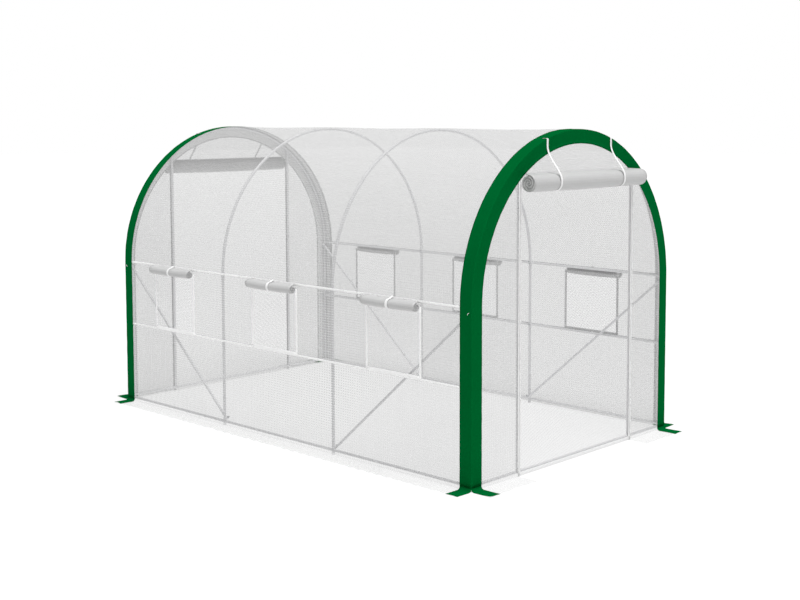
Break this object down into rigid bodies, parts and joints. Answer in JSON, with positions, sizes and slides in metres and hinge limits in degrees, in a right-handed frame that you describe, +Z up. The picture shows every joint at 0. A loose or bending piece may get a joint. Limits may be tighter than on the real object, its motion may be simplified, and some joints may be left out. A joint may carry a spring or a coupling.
{
  "type": "walk-in polytunnel greenhouse",
  "caption": "Walk-in tunnel greenhouse: steel tube hoops, translucent film cover with green arch bands, rolled-up doors and mesh windows.",
  "frame": {"origin": "on the ground at the middle of the plan, at the bottom centre of the whole object", "axes": "+Z up, length along Y, front door faces -Y, left side is -X"},
  "size_m": [2.24, 3.73, 2.0498],
  "materials": {
    "tube": "satin",
    "cover_film": "satin, see-through",
    "insect_mesh": "open mesh",
    "rolled_film": "satin",
    "white_tape": "woven",
    "green_band": "matte",
    "skirt_film": "matte"
  },
  "bodies": {
    "root": {"front_hoop": "tube", "front_middle_hoop": "tube", "rear_middle_hoop": "tube", "rear_hoop": "tube", "left_base_rail": "tube", "left_lower_rail": "tube", "left_upper_rail": "tube", "right_base_rail": "tube", "right_lower_rail": "tube", "right_upper_rail": "tube", "end_base_rails": "tube", "left_braces": "tube", "right_braces": "tube", "front_door_posts": "tube", "rear_door_posts": "tube", "left_side_cover": "cover_film", "right_side_cover": "cover_film", "roof_cover": "cover_film", "front_left_panel": "cover_film", "front_right_panel": "cover_film", "front_top_panel": "cover_film", "rear_left_panel": "cover_film", "rear_right_panel": "cover_film", "rear_top_panel": "cover_film", "front_door_screen": "insect_mesh", "rear_door_screen": "insect_mesh", "left_window_screens": "insect_mesh", "right_window_screens": "insect_mesh", "left_window_rolls": "rolled_film", "right_window_rolls": "rolled_film", "front_door_roll": "rolled_film", "rear_door_roll": "rolled_film", "left_window_ties": "white_tape", "right_window_ties": "white_tape", "front_door_straps": "white_tape", "rear_door_straps": "white_tape", "front_trim": "green_band", "rear_trim": "green_band", "front_ground_flaps": "green_band", "rear_ground_flaps": "green_band", "left_skirt": "skirt_film", "right_skirt": "skirt_film", "front_skirts": "skirt_film", "rear_skirts": "skirt_film"}
  },
  "joints": []
}
